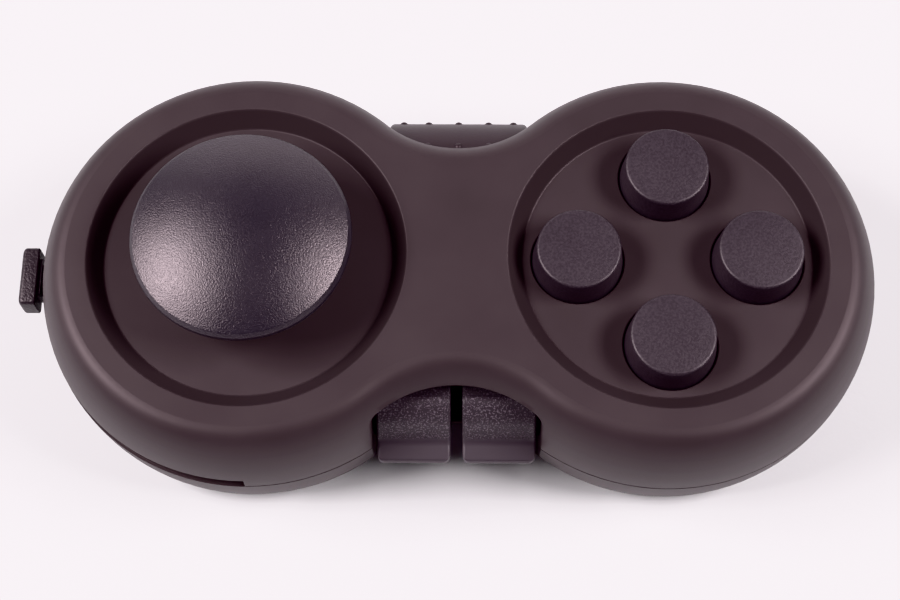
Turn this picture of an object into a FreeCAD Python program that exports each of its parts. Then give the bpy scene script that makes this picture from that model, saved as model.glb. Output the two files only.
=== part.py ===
import FreeCAD, Part

import math
import os

# Two-lobed fidget pad. Millimetres, +Z up. The origin is the centre of the flat underside, midway
# between the lobes. The joystick lobe is at -X, the button lobe at +X, the triggers face -Y.

V = FreeCAD.Vector
X_AXIS = V(1, 0, 0)
Y_AXIS = V(0, 1, 0)
Z_AXIS = V(0, 0, 1)

# Housing
LOBE_X = 20.0               # each lobe's axis from the middle
LOBE_R = 20.6               # lobe radius at the seam
FLAT_R = 17.2               # where the flat top turns into the shoulder
HEIGHT = 17.2
SEAM_Z = 9.1
WAIST_Y = 23.45             # centre of each hollow of the waist
WAIST_R = math.hypot(LOBE_X, WAIST_Y) - LOBE_R
WALL = 1.6
SEAM_GROOVE = 0.2
LIP_HEIGHT = 1.1
LIP_FIT = 0.06
RIM_ROUND = 0.15            # rounding of the wells' rims and floors, and of the screw holes
HOLE_ROUND = 0.12
OPENING_ROUND = 0.2         # rounding of the trigger and roller openings

# Wells in the top face
WELL_RIM_R = 15.25
WELL_FLOOR_R = 13.75
WELL_FLOOR_Z = HEIGHT - 1.56
CEILING_Z = WELL_FLOOR_Z - 1.6

# Housing screws, from below
SCREW_LEFT = (-11.5, 11.6)
SCREW_RIGHT = (30.4, 10.4)
BOSS_R = 2.2
SCREW_SEAT_Z = 4.5
SCREW_HEAD_R = 1.7
SCREW_HEAD_H = 1.2
SCREW_R = 0.8
SCREW_TIP_Z = 12.6
PILOT_FIT = 0.02

# Joystick, on the left lobe's axis
STICK_PIVOT_Z = 10.0
CAP_R = 10.3
CAP_BAND_Z = 21.1           # widest place of the cap
CAP_EDGE_R = 9.98
CAP_EDGE_Z = 22.0
CAP_TOP_Z = 24.4
CAP_UNDER_Z = 20.2
CAP_NECK_R = 3.2
CAP_NECK_Z = 17.4
STEM_R = 1.7
STEM_TOP_Z = 21.1
DOME_R = 7.15
DOME_T = 0.7
DOME_HALF_ANGLE = 66.0
STICK_HOLE_LOW_R = 6.2
STICK_HOLE_TOP_R = 5.0
RING_R = 4.2
RING_BORE_R = 3.0
RING_HALF_H = 1.0
RING_PIN_R = 0.7
STEM_PIN_R = 0.6
PIVOT_FIT = 0.05
FRAME_BASE_Z = 2.4
FRAME_BASE_T = 0.8
FRAME_R = 9.9
FRAME_COLLAR_R = 8.8
FRAME_BORE_R = 7.6
FRAME_TOP_Z = 10.4
POST_X = 4.75
POST_T = 1.1
POST_HALF_W = 1.4
FRAME_SCREW_Y = 5.6
FOOT_Z = 6.0

# Side slider, turning about the left lobe's axis
SLOT_H = 1.5
LEVER_R = 10.9
LEVER_FIT = 0.06
LEVER_LOW_Z = SEAM_Z + 0.05
LEVER_TOP_Z = 10.2
ARM_LOW_Z = 9.4
ARM_HALF_W = 1.5
ARM_END_R = 22.0
KNOB_IN_R = 21.2
KNOB_OUT_R = 22.9
KNOB_HALF_W = 3.0
KNOB_NECK_W = 2.4
KNOB_LOW_Z = 8.35
KNOB_TOP_Z = 11.3
KNOB_ROUND = 0.5

# Buttons, on the right lobe
BUTTON_PITCH_R = 8.55
BUTTON_HOLE_R = 4.45
BUTTON_R = 4.3
BUTTON_EDGE_R = 3.98
BUTTON_FLAT_R = 3.7
BUTTON_TOP_Z = HEIGHT + 1.47
BUTTON_ROUND = 0.3
FLANGE_R = 5.1
FLANGE_LOW_Z = 12.85
FLANGE_TOP_Z = 13.85
PLUNGER_R = 1.6
PLUNGER_Z = 11.05
PLATE_R = 12.0
PLATE_LOW_Z = 8.4
PLATE_TOP_Z = 9.4
PLATE_SCREW_XY = 7.5
SNAP_R = 3.0
SNAP_H = 1.6
SNAP_T = 0.15
BUTTON_SIDES = (("right", 0), ("back", 90), ("left", 180), ("front", 270))

# Triggers, in the front of the waist
OPENING_HALF_W = 8.0
OPENING_LOW_Z = 2.75
OPENING_TOP_Z = 14.45
POCKET_BACK_Y = -8.6
TRIGGER_W = 7.0
TRIGGER_GAP = 1.1
PIN_Y = -10.0
PIN_Z = 12.4
PIN_R = 0.8
PIN_HALF_L = 9.4
PIN_BOSS_X = 8.2             # inner face of the bosses that hold the pin
HUB_R = 1.75
LIP_CORNER_R = 0.5
NOSE_Y = -18.15
SPRING_Z = 7.0
SPRING_REST_Y = -9.2

# Roller, in the back of the waist
ROLLER_Y = 10.85
ROLLER_Z = 8.6
ROLLER_R = 6.4
ROLLER_HALF_L = 6.9
ROLLER_CHAMFER = 0.6
ROLLER_CLEARANCE = 0.55
NUB_R = 0.38
NUB_PROUD = 0.2
NUB_ROWS = 8
NUB_X = (-5.5, -3.0, 0.0, 3.0, 5.5)
AXLE_R = 1.0
AXLE_HALF_L = 9.4
POCKET_HALF_L = 7.3
POCKET_CORNER_R = 0.6
WASHER_T = 0.3
WASHER_R = 2.0


def cylinder(radius, low, high, x=0.0, y=0.0):
    return Part.makeCylinder(radius, high - low, V(x, y, low), Z_AXIS)


def tube(outer, inner, low, high, x=0.0, y=0.0):
    return cylinder(outer, low, high, x, y).cut(cylinder(inner, low, high, x, y))


def x_cylinder(radius, low, high, y, z):
    return Part.makeCylinder(radius, high - low, V(low, y, z), X_AXIS)


def block(x, y, z):
    """A box from three (low, high) pairs."""
    size = [high - low for low, high in (x, y, z)]
    return Part.makeBox(size[0], size[1], size[2], V(x[0], y[0], z[0]))


def cone(low_r, high_r, low, high, x=0.0, y=0.0):
    return Part.makeCone(low_r, high_r, high - low, V(x, y, low), Z_AXIS)


def turned(edges, x=0.0, y=0.0):
    """A closed outline in the XZ plane, turned about Z and moved to x, y."""
    face = Part.Face(Part.Wire(edges))
    solid = face.revolve(V(0, 0, 0), Z_AXIS, 360)
    solid.translate(V(x, y, 0))
    return solid


def lines(points):
    """Straight edges in the XZ plane through the (r, z) points."""
    corners = [V(r, 0, z) for r, z in points]
    return [Part.LineSegment(a, b).toShape() for a, b in zip(corners, corners[1:])]


def arc(start, middle, end):
    """A round edge in the XZ plane through three (r, z) points."""
    ends = [V(r, 0, z) for r, z in (start, middle, end)]
    return Part.Arc(ends[0], ends[1], ends[2]).toShape()


def dome_arc(radius, edge_z, top_z):
    """A round edge from the axis at top_z out to radius at edge_z, level at the axis."""
    rise = top_z - edge_z
    sphere_r = (radius ** 2 + rise ** 2) / (2 * rise)
    half_z = top_z - sphere_r + math.sqrt(sphere_r ** 2 - radius ** 2 / 4)
    return arc((0, top_z), (radius / 2, half_z), (radius, edge_z))


def coil(radius, wire_r, turns, length):
    """A compression spring from z = 0 up to length, wire included."""
    rise = length - 2 * wire_r
    path = Part.makeHelix(rise / turns, rise, radius)
    section = Part.Wire(Part.makeCircle(wire_r, V(radius, 0, 0), Y_AXIS))
    spring = Part.Wire(path).makePipeShell([section], True, True)
    spring.translate(V(0, 0, wire_r))
    return spring


def mirrored_x(shape):
    return shape.mirror(V(0, 0, 0), X_AXIS)


def save(name, shape):
    shape.exportStep("parts/" + name + ".step")


# Housing

def shoulder(center_r, side, inset):
    """The two quarter-ellipse edges of a side wall, top to bottom, about center_r."""
    width = shoulder_width(inset)
    middle = V(center_r, 0, SEAM_Z)
    out = V(center_r + side * width, 0, SEAM_Z)
    edges = []
    for end_z in (HEIGHT - inset, inset):
        ellipse = Part.Ellipse(V(center_r, 0, end_z), out, middle)
        edges.append(Part.ArcOfEllipse(ellipse, 0, math.pi / 2).toShape())
    return edges


def flat_radius(inset):
    return FLAT_R - 0.4 * inset


def shoulder_width(inset):
    return LOBE_R - inset - flat_radius(inset)


def lobe_sector(inset):
    """The right lobe, without the wedge that faces the waist."""
    flat = flat_radius(inset)
    top = HEIGHT - inset
    edges = shoulder(flat, 1, inset)
    edges += lines([(flat, inset), (0, inset), (0, top), (flat, top)])
    face = Part.Face(Part.Wire(Part.__sortEdges__(edges)))
    wedge = math.degrees(math.atan2(WAIST_Y, LOBE_X))
    face.rotate(V(0, 0, 0), Z_AXIS, wedge - 180)
    solid = face.revolve(V(0, 0, 0), Z_AXIS, 360 - 2 * wedge)
    solid.translate(V(LOBE_X, 0, 0))
    return solid


def waist_hollow(inset):
    """The round space cut out of the back of the waist."""
    center = WAIST_R + inset + shoulder_width(inset)
    top = HEIGHT - inset
    edges = shoulder(center, -1, inset)
    edges += lines([(center, inset), (0, inset), (0, top), (center, top)])
    face = Part.Face(Part.Wire(Part.__sortEdges__(edges)))
    face.rotate(V(0, 0, 0), Z_AXIS, 90)
    solid = face.revolve(V(0, 0, 0), Z_AXIS, 360)
    solid.translate(V(0, WAIST_Y, 0))
    return solid


def pad(inset):
    """The whole outer shape, both lobes and the waist, moved in by inset."""
    right = lobe_sector(inset)
    left = right.copy()
    left.rotate(V(0, 0, 0), Z_AXIS, 180)
    corners = [V(-LOBE_X, 0, inset), V(0, -WAIST_Y, inset), V(LOBE_X, 0, inset), V(0, WAIST_Y, inset)]
    outline = Part.makePolygon(corners + corners[:1])
    bridge = Part.Face(outline).extrude(V(0, 0, HEIGHT - 2 * inset))
    back = waist_hollow(inset)
    front = back.copy()
    front.rotate(V(0, 0, 0), Z_AXIS, 180)
    bridge = bridge.cut(back).cut(front)
    return right.fuse([left, bridge])


def slab(low, high):
    return block((-50, 50), (-50, 50), (low, high))


def screw_places():
    places = []
    for x, y in (SCREW_LEFT, SCREW_RIGHT):
        places += [(x, y), (x, -y)]
    return places


def plate_screw_places():
    signs = ((1, 1), (-1, 1), (-1, -1), (1, -1))
    return [(LOBE_X + sx * PLATE_SCREW_XY, sy * PLATE_SCREW_XY) for sx, sy in signs]


def frame_screw_places():
    return [(-LOBE_X, FRAME_SCREW_Y), (-LOBE_X, -FRAME_SCREW_Y)]


def button_places():
    places = []
    for side, degrees in BUTTON_SIDES:
        angle = math.radians(degrees)
        x = LOBE_X + BUTTON_PITCH_R * math.cos(angle)
        places.append((side, x, BUTTON_PITCH_R * math.sin(angle)))
    return places


def roller_pocket():
    radius = ROLLER_R + ROLLER_CLEARANCE
    pocket = x_cylinder(radius, -POCKET_HALF_L, POCKET_HALF_L, ROLLER_Y, ROLLER_Z)
    rims = [e for e in pocket.Edges if e.Curve.TypeId == "Part::GeomCircle"]
    return pocket.makeFillet(POCKET_CORNER_R, rims)


def roller_cheeks(outline, low, high):
    """The two side walls of the roller's pocket, between two heights."""
    radius = ROLLER_R + ROLLER_CLEARANCE + 0.6
    cheek = x_cylinder(radius, POCKET_HALF_L, POCKET_HALF_L + 1.1, ROLLER_Y, ROLLER_Z)
    cheek = cheek.common(slab(low, high)).common(outline)
    return [cheek, mirrored_x(cheek)]


def trigger_opening():
    width = (-OPENING_HALF_W, OPENING_HALF_W)
    opening = block(width, (-25, POCKET_BACK_Y), (OPENING_LOW_Z, OPENING_TOP_Z))
    middle_y = (POCKET_BACK_Y - 25) / 2
    along_y = [e for e in opening.Edges if abs(e.CenterOfMass.y - middle_y) < 0.1
               and abs(e.CenterOfMass.x) > OPENING_HALF_W - 0.1
               and abs(abs(e.CenterOfMass.z - (OPENING_LOW_Z + OPENING_TOP_Z) / 2)
                       - (OPENING_TOP_Z - OPENING_LOW_Z) / 2) < 0.1]
    return opening.makeFillet(0.6, along_y)


def seam_groove(outline):
    band = outline.common(slab(SEAM_Z - SEAM_GROOVE, SEAM_Z))
    return band.cut(pad(SEAM_GROOVE))


def edges_on(shape, first, second):
    """The edges of shape whose middles lie on the skins of both other shapes."""
    found = []
    for edge in shape.Edges:
        middle = Part.Vertex(edge.valueAt((edge.FirstParameter + edge.LastParameter) / 2))
        if all(skin.distToShape(middle)[0] < 0.001 for skin in (first.Shells[0], second.Shells[0])):
            found.append(edge)
    return found


def rounded_cut(solid, cutter, radius, skin):
    """Cut cutter out of solid and round the edges that it leaves on skin."""
    opened = solid.cut(cutter)
    return opened.makeFillet(radius, edges_on(opened, skin, cutter))


def circle_edges(shape, radius, z):
    """Every round edge of that radius at that height."""
    return [e for e in shape.Edges if e.Curve.TypeId == "Part::GeomCircle"
            and abs(e.Curve.Radius - radius) < 0.001 and abs(e.Curve.Center.z - z) < 0.001]


def slider_slot():
    ring = tube(LOBE_R + 2, LOBE_R - 4, SEAM_Z - 1, SEAM_Z + SLOT_H, -LOBE_X, 0)
    return ring.common(block((-50, -LOBE_X), (-50, 50), (0, HEIGHT)))


def open_pad(outline):
    """The outer shape with the roller's and the triggers' openings, their edges rounded."""
    opened = outline
    for cutter in (roller_pocket(), trigger_opening()):
        opened = rounded_cut(opened, cutter, OPENING_ROUND, outline)
    return opened


def top_skin(opened):
    """The top shell before it is hollowed: wells, holes and the slider's slot."""
    shell = opened.common(slab(SEAM_Z, HEIGHT + 1))
    over = 0.5
    slope = (WELL_RIM_R - WELL_FLOOR_R) / (HEIGHT - WELL_FLOOR_Z)
    for x in (-LOBE_X, LOBE_X):
        rim = WELL_RIM_R + over * slope
        shell = shell.cut(cone(WELL_FLOOR_R, rim, WELL_FLOOR_Z, HEIGHT + over, x, 0))
    shell = shell.makeFillet(RIM_ROUND, circle_edges(shell, WELL_RIM_R, HEIGHT))
    shell = shell.makeFillet(RIM_ROUND, circle_edges(shell, WELL_FLOOR_R, WELL_FLOOR_Z))
    holes = [cylinder(BUTTON_HOLE_R, SEAM_Z - 1, HEIGHT, x, y) for side, x, y in button_places()]
    holes.append(cone(STICK_HOLE_LOW_R, STICK_HOLE_TOP_R, CEILING_Z, WELL_FLOOR_Z, -LOBE_X, 0))
    shell = shell.cut(holes)
    rims = circle_edges(shell, BUTTON_HOLE_R, WELL_FLOOR_Z)
    rims += circle_edges(shell, STICK_HOLE_TOP_R, WELL_FLOOR_Z)
    return shell.makeFillet(HOLE_ROUND, rims).cut(slider_slot())


def top_shell(opened, inner):
    shell = top_skin(opened).cut(inner.common(slab(SEAM_Z, CEILING_Z)))
    roof = CEILING_Z + 0.2
    extras = [cylinder(BOSS_R, SEAM_Z, roof, x, y) for x, y in screw_places()]
    extras.append(tube(LEVER_R, LEVER_R - 1.2, LEVER_TOP_Z + 0.4, roof, -LOBE_X, 0))
    extras += roller_cheeks(pad(WALL / 2), SEAM_Z, roof)
    for x in (-AXLE_HALF_L, POCKET_HALF_L):
        side = (x, x + AXLE_HALF_L - POCKET_HALF_L)
        low = ROLLER_Z + AXLE_R + PILOT_FIT
        extras.append(block(side, (ROLLER_Y - 0.9, ROLLER_Y + 0.9), (low, roof)))
    for x in (-PIN_HALF_L, PIN_BOSS_X):
        side = (x, x + PIN_HALF_L - PIN_BOSS_X)
        extras.append(block(side, (PIN_Y - 1.8, PIN_Y + 1.8), (PIN_Z - 1.2, roof)))
    shell = shell.fuse(extras)
    cuts = [roller_pocket()]
    for x, y in screw_places():
        cuts.append(cylinder(SCREW_R + PILOT_FIT, SEAM_Z - 1, SCREW_TIP_Z + 0.3, x, y))
    fit = PIN_R + PILOT_FIT
    cuts.append(x_cylinder(fit, -PIN_HALF_L, PIN_HALF_L, PIN_Y, PIN_Z))
    cuts.append(block((-PIN_HALF_L, PIN_HALF_L), (PIN_Y - fit, PIN_Y + fit), (PIN_Z - 2, PIN_Z)))
    cuts.append(x_cylinder(AXLE_R + PILOT_FIT, -AXLE_HALF_L, AXLE_HALF_L, ROLLER_Y, ROLLER_Z))
    return shell.cut(cuts)


def joint_lip(inner):
    """The lip inside the seam that the top shell slides over, left out at the moving parts."""
    hollow = pad(WALL + 0.8)
    root = pad(WALL - 0.1).common(slab(SEAM_Z - 1, SEAM_Z))
    tongue = pad(WALL + LIP_FIT).common(slab(SEAM_Z, SEAM_Z + LIP_HEIGHT))
    lip = root.fuse(tongue).cut(hollow)
    gaps = [block((-50, -LOBE_X + 2.5), (-50, 50), (0, HEIGHT))]
    gaps.append(block((-10.4, 10.4), (-50, 50), (0, HEIGHT)))
    gaps += [cylinder(BOSS_R + 0.4, 0, HEIGHT, x, y) for x, y in screw_places()]
    return lip.cut(gaps)


def bottom_skin(outline, opened):
    """The bottom shell before it is hollowed, with its screw holes and seam groove."""
    shell = opened.common(slab(0, SEAM_Z))
    for x, y in screw_places():
        shell = shell.cut(cylinder(SCREW_HEAD_R + 0.2, -1, SCREW_SEAT_Z, x, y))
    shell = shell.makeFillet(RIM_ROUND, circle_edges(shell, SCREW_HEAD_R + 0.2, 0))
    return shell.cut(seam_groove(outline))


def bottom_shell(outline, opened, inner):
    shell = bottom_skin(outline, opened).cut(inner.common(slab(0, SEAM_Z)))
    extras = [cylinder(BOSS_R + 0.2, WALL / 2, SEAM_Z, x, y) for x, y in screw_places()]
    extras += [cylinder(1.8, WALL / 2, PLATE_LOW_Z, x, y) for x, y in plate_screw_places()]
    extras += [cylinder(1.8, WALL / 2, FRAME_BASE_Z, x, y) for x, y in frame_screw_places()]
    extras.append(tube(FRAME_R, FRAME_R - 1.2, WALL / 2, FRAME_BASE_Z, -LOBE_X, 0))
    extras += roller_cheeks(pad(WALL / 2), WALL / 2, SEAM_Z)
    for x in (-AXLE_HALF_L, POCKET_HALF_L):
        side = (x, x + AXLE_HALF_L - POCKET_HALF_L)
        extras.append(block(side, (ROLLER_Y - 2, ROLLER_Y + 2), (WALL / 2, SEAM_Z)))
    for x in (-PIN_HALF_L + 0.2, PIN_BOSS_X + 0.1):
        side = (x, x + PIN_HALF_L - PIN_BOSS_X - 0.3)
        extras.append(block(side, (PIN_Y - 0.7, PIN_Y + 0.7), (WALL / 2, PIN_Z - PIN_R - 0.05)))
    middle = TRIGGER_GAP / 2 + TRIGGER_W / 2
    for x in (-middle, middle):
        rest = block((x - 2, x + 2), (SPRING_REST_Y, SPRING_REST_Y + 1), (WALL / 2, SPRING_Z + 1.6))
        spigot = Part.makeCylinder(0.9, 1.2, V(x, SPRING_REST_Y - 1.2, SPRING_Z), Y_AXIS)
        extras += [rest, spigot]
    extras.append(joint_lip(inner))
    shell = shell.fuse(extras)
    cuts = [roller_pocket()]
    fit = AXLE_R + PILOT_FIT
    cuts.append(x_cylinder(fit, -AXLE_HALF_L, AXLE_HALF_L, ROLLER_Y, ROLLER_Z))
    cuts.append(block((-AXLE_HALF_L, AXLE_HALF_L), (ROLLER_Y - fit, ROLLER_Y + fit), (ROLLER_Z, 20)))
    for x, y in screw_places():
        cuts.append(cylinder(SCREW_HEAD_R + 0.2, -1, SCREW_SEAT_Z, x, y))
        cuts.append(cylinder(SCREW_R + 0.15, -1, 20, x, y))
    for x, y in plate_screw_places():
        cuts.append(cylinder(0.7 + PILOT_FIT, PLATE_LOW_Z - 4, PLATE_LOW_Z + 1, x, y))
    for x, y in frame_screw_places():
        cuts.append(cylinder(0.6 + PILOT_FIT, 0.6, FRAME_BASE_Z + 1, x, y))
    return shell.cut(cuts)


def cross_recess(center, half, depth, up):
    """A cross-head recess that opens along +Z or -Z."""
    low = center.z - depth if up else center.z
    arms = []
    for long_x in (True, False):
        wide = (half, 0.18) if long_x else (0.18, half)
        span_x = (center.x - wide[0], center.x + wide[0])
        arms.append(block(span_x, (center.y - wide[1], center.y + wide[1]), (low, low + depth)))
    return arms[0].fuse(arms[1])


def housing_screws():
    screws = []
    for x, y in screw_places():
        low = SCREW_SEAT_Z - SCREW_HEAD_H
        head = cylinder(SCREW_HEAD_R, low, SCREW_SEAT_Z, x, y)
        head = head.cut(cross_recess(V(x, y, low), 0.9, 0.7, False))
        screws.append(head.fuse(cylinder(SCREW_R, SCREW_SEAT_Z, SCREW_TIP_Z, x, y)))
    return Part.makeCompound(screws)


# Joystick

def joystick_cap():
    edges = [dome_arc(CAP_EDGE_R, CAP_EDGE_Z, CAP_TOP_Z)]
    edges.append(arc((CAP_EDGE_R, CAP_EDGE_Z), (CAP_R - 0.06, CAP_BAND_Z + 0.45), (CAP_R, CAP_BAND_Z)))
    outline = [(CAP_R, CAP_BAND_Z), (CAP_R - 0.9, CAP_UNDER_Z), (CAP_NECK_R, CAP_UNDER_Z)]
    outline += [(CAP_NECK_R, CAP_NECK_Z), (STEM_R, CAP_NECK_Z), (STEM_R, STEM_TOP_Z), (0, STEM_TOP_Z)]
    edges += lines(outline + [(0, CAP_TOP_Z)])
    return turned(edges, -LOBE_X, 0)


def joystick_stem():
    stem = cylinder(STEM_R, FOOT_Z, STEM_TOP_Z, -LOBE_X, 0)
    foot = cylinder(2.6, FOOT_Z, FOOT_Z + 0.6, -LOBE_X, 0)
    spigot = cylinder(1.4, FOOT_Z - 0.8, FOOT_Z, -LOBE_X, 0)
    top = STICK_PIVOT_Z + DOME_R - DOME_T
    collar = cylinder(2.6, top - 1.2, top - 0.6, -LOBE_X, 0)
    cross = Part.makeCylinder(STEM_PIN_R, 8.2, V(-LOBE_X, -4.1, STICK_PIVOT_Z), Y_AXIS)
    return stem.fuse([foot, spigot, collar, cross])


def dust_dome():
    center = V(-LOBE_X, 0, STICK_PIVOT_Z)
    shell = Part.makeSphere(DOME_R, center).cut(Part.makeSphere(DOME_R - DOME_T, center))
    rim_z = STICK_PIVOT_Z + DOME_R * math.cos(math.radians(DOME_HALF_ANGLE))
    return shell.common(slab(rim_z, 40)).cut(cylinder(STEM_R, 0, 40, -LOBE_X, 0))


def gimbal_ring():
    ring = tube(RING_R, RING_BORE_R, STICK_PIVOT_Z - RING_HALF_H, STICK_PIVOT_Z + RING_HALF_H)
    pins = x_cylinder(RING_PIN_R, -5.7, 5.7, 0, STICK_PIVOT_Z)
    pins = pins.cut(x_cylinder(RING_PIN_R + 0.1, -3.6, 3.6, 0, STICK_PIVOT_Z))
    ring = ring.fuse(pins)
    bore = Part.makeCylinder(STEM_PIN_R + PIVOT_FIT, 12, V(0, -6, STICK_PIVOT_Z), Y_AXIS)
    ring = ring.cut(bore)
    ring.translate(V(-LOBE_X, 0, 0))
    return ring


def joystick_frame():
    floor_z = FRAME_BASE_Z + FRAME_BASE_T
    frame = cylinder(FRAME_R, FRAME_BASE_Z, floor_z)
    frame = frame.fuse(tube(FRAME_R, FRAME_BORE_R, floor_z, SEAM_Z))
    frame = frame.fuse(tube(FRAME_COLLAR_R, FRAME_BORE_R, SEAM_Z, FRAME_TOP_Z))
    frame = frame.fuse(cylinder(1.4, floor_z, floor_z + 0.8))
    post_top = STICK_PIVOT_Z + 1.2
    width = (-POST_HALF_W, POST_HALF_W)
    for sign in (-1, 1):
        post = sorted((sign * POST_X, sign * (POST_X + POST_T)))
        web = sorted((sign * (POST_X + POST_T), sign * (FRAME_BORE_R + 0.2)))
        frame = frame.fuse(block(post, width, (floor_z, post_top)))
        frame = frame.fuse(block(web, (-0.8, 0.8), (floor_z, STICK_PIVOT_Z - 1.6)))
    reach = POST_X + POST_T
    frame = frame.cut(x_cylinder(RING_PIN_R + PIVOT_FIT, -reach, reach, 0, STICK_PIVOT_Z))
    frame.translate(V(-LOBE_X, 0, 0))
    holes = [cylinder(0.75, 0, floor_z + 1, x, y) for x, y in frame_screw_places()]
    return frame.cut(holes)


def small_screws(places, seat_z, head_r, head_h, shank_r, tip_z):
    """Pan-head screws pointing down, each head standing on seat_z."""
    screws = []
    for x, y in places:
        top = seat_z + head_h
        head = cylinder(head_r, seat_z, top, x, y)
        head = head.cut(cross_recess(V(x, y, top), 0.6 * head_r, 0.45, True))
        screws.append(head.fuse(cylinder(shank_r, tip_z, seat_z, x, y)))
    return Part.makeCompound(screws)


def joystick_spring():
    low = FRAME_BASE_Z + FRAME_BASE_T
    spring = coil(2.0, 0.22, 4.5, FOOT_Z - low)
    spring.translate(V(-LOBE_X, 0, low))
    return spring


# Side slider

def slider_lever():
    inner = FRAME_COLLAR_R + LEVER_FIT
    ring = tube(LEVER_R, inner, LEVER_LOW_Z, LEVER_TOP_Z, -LOBE_X, 0)
    reach = (-LOBE_X - ARM_END_R, -LOBE_X - LEVER_R + 1)
    arm = block(reach, (-ARM_HALF_W, ARM_HALF_W), (ARM_LOW_Z, LEVER_TOP_Z))
    return ring.fuse(arm)


def slider_knob():
    span = (-LOBE_X - KNOB_OUT_R, -LOBE_X - KNOB_IN_R)
    head = block(span, (-KNOB_HALF_W, KNOB_HALF_W), (KNOB_LOW_Z, KNOB_TOP_Z))
    outer = [e for e in head.Edges if e.CenterOfMass.x < span[1] - 0.01]
    head = head.makeFillet(KNOB_ROUND, outer)
    base = block((span[1] - 0.1, span[1] + 0.3), (-KNOB_NECK_W, KNOB_NECK_W), (8.7, 10.9))
    knob = head.fuse(base)
    socket = block((-LOBE_X - ARM_END_R, 0), (-ARM_HALF_W, ARM_HALF_W), (ARM_LOW_Z, LEVER_TOP_Z))
    return knob.cut(socket)


# Buttons

def button(x, y):
    corner_z = BUTTON_TOP_Z - BUTTON_ROUND
    bend = (BUTTON_FLAT_R + 0.75 * (BUTTON_EDGE_R - BUTTON_FLAT_R), BUTTON_TOP_Z - 0.22 * BUTTON_ROUND)
    outline = [(BUTTON_EDGE_R, corner_z), (BUTTON_R, WELL_FLOOR_Z), (BUTTON_R, FLANGE_TOP_Z)]
    outline += [(FLANGE_R, FLANGE_TOP_Z), (FLANGE_R, FLANGE_LOW_Z), (PLUNGER_R, FLANGE_LOW_Z)]
    outline += [(PLUNGER_R, PLUNGER_Z), (0, PLUNGER_Z), (0, BUTTON_TOP_Z), (BUTTON_FLAT_R, BUTTON_TOP_Z)]
    edges = [arc((BUTTON_FLAT_R, BUTTON_TOP_Z), bend, (BUTTON_EDGE_R, corner_z))]
    return turned(edges + lines(outline), x, y)


def snap_dome(x, y):
    low = PLATE_TOP_Z
    inner_r = SNAP_R - SNAP_T
    inner_top = low + SNAP_H - SNAP_T
    edges = [dome_arc(SNAP_R, low, low + SNAP_H)]
    edges += lines([(SNAP_R, low), (inner_r, low)])
    edges.append(dome_arc(inner_r, low, inner_top))
    edges += lines([(0, inner_top), (0, low + SNAP_H)])
    return turned(edges, x, y)


def switch_plate():
    plate = cylinder(PLATE_R, PLATE_LOW_Z, PLATE_TOP_Z, LOBE_X, 0)
    holes = [cylinder(0.85, 0, 20, x, y) for x, y in plate_screw_places()]
    return plate.cut(holes)


# Triggers

def trigger_outline():
    """Hub on the pin, curved face, flared lip and a skirt below it, as (y, z) points."""

    def hub_point(degrees):
        angle = math.radians(degrees)
        return (PIN_Y + HUB_R * math.cos(angle), PIN_Z + HUB_R * math.sin(angle))

    brow = (-12.35, 13.75)
    crease = (-16.3, 10.7)
    lip_top = (-17.75, 9.45)
    lip_end = (NOSE_Y, 8.85)
    lip_low = (-17.7, 8.3)
    under = (-15.9, 7.7)
    skirt = (-13.4, 3.5)
    heel = (-12.1, 3.5)
    inside_low = (-14.0, 7.4)
    inside_top = (-14.2, 10.2)
    outline = [(hub_point(90), brow), (brow, (-14.75, 12.65), crease), (crease, (-17.0, 10.0), lip_top)]
    outline += [(lip_top, (-18.08, 9.2), lip_end), (lip_end, (-18.02, 8.5), lip_low)]
    outline += [(lip_low, (-16.75, 8.15), under), (under, (-15.0, 5.5), skirt), (skirt, heel)]
    outline += [(heel, (-13.4, 5.3), inside_low), (inside_low, inside_top)]
    outline += [(inside_top, (-13.1, 11.2), hub_point(230)), (hub_point(230), hub_point(340), hub_point(90))]
    return outline


def trigger(x_low):
    edges = []
    for places in trigger_outline():
        corners = [V(x_low, y, z) for y, z in places]
        if len(corners) == 2:
            edges.append(Part.LineSegment(corners[0], corners[1]).toShape())
        else:
            edges.append(Part.Arc(corners[0], corners[1], corners[2]).toShape())
    lever = Part.Face(Part.Wire(edges)).extrude(V(TRIGGER_W, 0, 0))
    x_high = x_low + TRIGGER_W
    plan = block((x_low, x_high), (NOSE_Y - 0.01, PIN_Y + 3), (0, HEIGHT))
    front = [e for e in plan.Edges if e.CenterOfMass.y < NOSE_Y + 0.1]
    corners = [e for e in front if abs(e.CenterOfMass.z - HEIGHT / 2) < 0.1]
    lever = lever.common(plan.makeFillet(LIP_CORNER_R, corners))
    return lever.cut(x_cylinder(PIN_R + PIVOT_FIT, x_low - 1, x_high + 1, PIN_Y, PIN_Z))


def trigger_pin():
    return x_cylinder(PIN_R, -PIN_HALF_L, PIN_HALF_L, PIN_Y, PIN_Z)


def trigger_spring(x):
    length = SPRING_REST_Y + 13.95
    spring = coil(1.3, 0.18, 5.5, length)
    spring.rotate(V(0, 0, 0), X_AXIS, 90)
    spring.translate(V(x, SPRING_REST_Y, SPRING_Z))
    return spring


# Roller

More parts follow.
